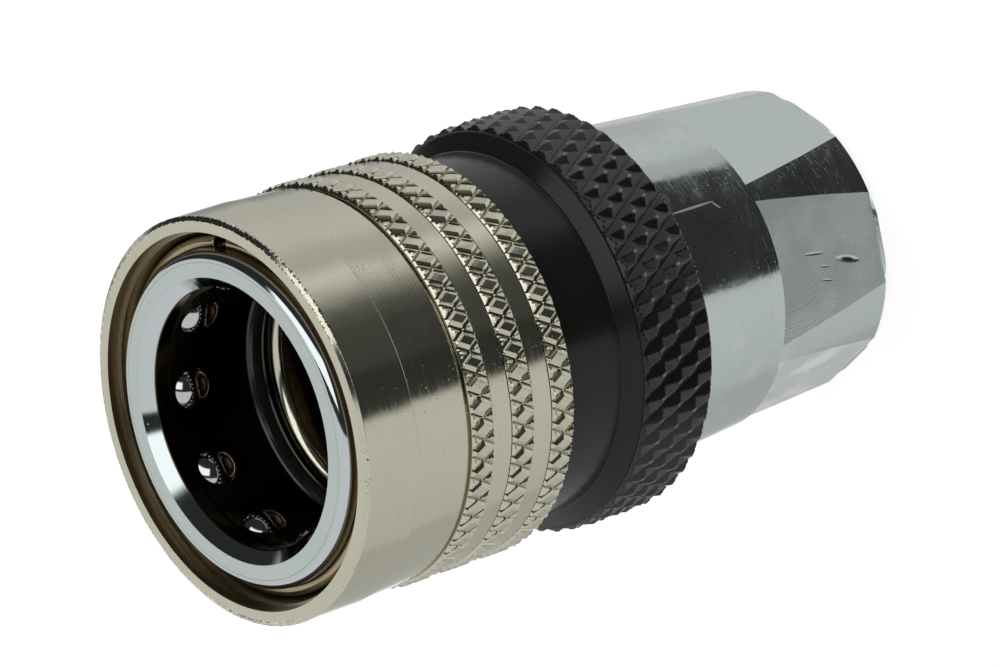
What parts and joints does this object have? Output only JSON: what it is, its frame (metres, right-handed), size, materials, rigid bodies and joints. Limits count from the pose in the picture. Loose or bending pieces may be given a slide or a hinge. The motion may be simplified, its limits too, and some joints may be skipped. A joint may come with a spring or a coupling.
{
  "type": "hydraulic quick coupler",
  "caption": "Ball-lock hydraulic quick coupler socket with a sprung pull sleeve, a screw lock ring, a shut-off valve and a threaded port.",
  "frame": {"origin": "centre of the port face, on which the coupler stands", "axes": "+Z along the axis from the port to the mouth; +Y square to one wrench flat"},
  "size_m": [0.0384, 0.0384, 0.0669],
  "materials": {
    "zinc": "zinc plated",
    "nickel": "nickel plated",
    "black_steel": "blackened, oiled",
    "ball_steel": "ground and polished",
    "spring_steel": "drawn wire",
    "bare_steel": "turned",
    "rubber": "moulded"
  },
  "bodies": {
    "body": {"rear_body": "zinc", "socket": "zinc", "stop_ring": "spring_steel", "spring_washer": "zinc", "sleeve_spring": "spring_steel", "bore_seal": "rubber", "body_seal": "rubber", "seal_retainer": "nickel", "guide_clip": "spring_steel", "valve_guide": "bare_steel", "valve_spring": "spring_steel"},
    "sleeve": {"sleeve": "nickel"},
    "gasket": {"ring_gasket": "rubber"},
    "lock_ring": {"lock_ring": "black_steel"},
    "poppet": {"poppet": "bare_steel", "poppet_seal": "rubber"},
    "ball_01": {"ball_01": "ball_steel"},
    "ball_02": {"ball_02": "ball_steel"},
    "ball_03": {"ball_03": "ball_steel"},
    "ball_04": {"ball_04": "ball_steel"},
    "ball_05": {"ball_05": "ball_steel"},
    "ball_06": {"ball_06": "ball_steel"},
    "ball_07": {"ball_07": "ball_steel"},
    "ball_08": {"ball_08": "ball_steel"},
    "ball_09": {"ball_09": "ball_steel"},
    "ball_10": {"ball_10": "ball_steel"}
  },
  "joints": [
    {"name": "sleeve_slide", "type": "slide", "parent": "body", "child": "sleeve", "axis": [0, 0, -1], "range_m": [0, 0.004], "stiffness_N_per_m": 6000, "springref_m": -0.005, "deforming": ["sleeve_spring"]},
    {"name": "poppet_slide", "type": "slide", "parent": "body", "child": "poppet", "axis": [0, 0, -1], "range_m": [0, 0.006], "stiffness_N_per_m": 2000, "springref_m": -0.006, "deforming": ["valve_spring"]},
    {"name": "ring_turn", "type": "hinge", "parent": "gasket", "child": "lock_ring", "pos_m": [0, 0, 0], "axis": [0, 0, 1], "range_deg": [0, 672]},
    {"name": "ring_run", "type": "slide", "parent": "body", "child": "gasket", "axis": [0, 0, 1], "range_m": [0, 0.0028]},
    {"name": "ball_01_slide", "type": "slide", "parent": "body", "child": "ball_01", "axis": [0.9848, 0.1736, 0], "range_m": [0, 0.0013]},
    {"name": "ball_02_slide", "type": "slide", "parent": "body", "child": "ball_02", "axis": [0.6947, 0.7193, 0], "range_m": [0, 0.0013]},
    {"name": "ball_03_slide", "type": "slide", "parent": "body", "child": "ball_03", "axis": [0.1392, 0.9903, 0], "range_m": [0, 0.0013]},
    {"name": "ball_04_slide", "type": "slide", "parent": "body", "child": "ball_04", "axis": [-0.4695, 0.8829, 0], "range_m": [0, 0.0013]},
    {"name": "ball_05_slide", "type": "slide", "parent": "body", "child": "ball_05", "axis": [-0.8988, 0.4384, 0], "range_m": [0, 0.0013]},
    {"name": "ball_06_slide", "type": "slide", "parent": "body", "child": "ball_06", "axis": [-0.9848, -0.1736, 0], "range_m": [0, 0.0013]},
    {"name": "ball_07_slide", "type": "slide", "parent": "body", "child": "ball_07", "axis": [-0.6947, -0.7193, 0], "range_m": [0, 0.0013]},
    {"name": "ball_08_slide", "type": "slide", "parent": "body", "child": "ball_08", "axis": [-0.1392, -0.9903, 0], "range_m": [0, 0.0013]},
    {"name": "ball_09_slide", "type": "slide", "parent": "body", "child": "ball_09", "axis": [0.4695, -0.8829, 0], "range_m": [0, 0.0013]},
    {"name": "ball_10_slide", "type": "slide", "parent": "body", "child": "ball_10", "axis": [0.8988, -0.4384, 0], "range_m": [0, 0.0013]}
  ],
  "couplings": [
    {"joint": "ring_run", "follows": "ring_turn", "m_per_rad": 0.00023873},
    {"joint": "ball_01_slide", "follows": "sleeve_slide", "ratio": 0.325},
    {"joint": "ball_02_slide", "follows": "sleeve_slide", "ratio": 0.325},
    {"joint": "ball_03_slide", "follows": "sleeve_slide", "ratio": 0.325},
    {"joint": "ball_04_slide", "follows": "sleeve_slide", "ratio": 0.325},
    {"joint": "ball_05_slide", "follows": "sleeve_slide", "ratio": 0.325},
    {"joint": "ball_06_slide", "follows": "sleeve_slide", "ratio": 0.325},
    {"joint": "ball_07_slide", "follows": "sleeve_slide", "ratio": 0.325},
    {"joint": "ball_08_slide", "follows": "sleeve_slide", "ratio": 0.325},
    {"joint": "ball_09_slide", "follows": "sleeve_slide", "ratio": 0.325},
    {"joint": "ball_10_slide", "follows": "sleeve_slide", "ratio": 0.325}
  ]
}
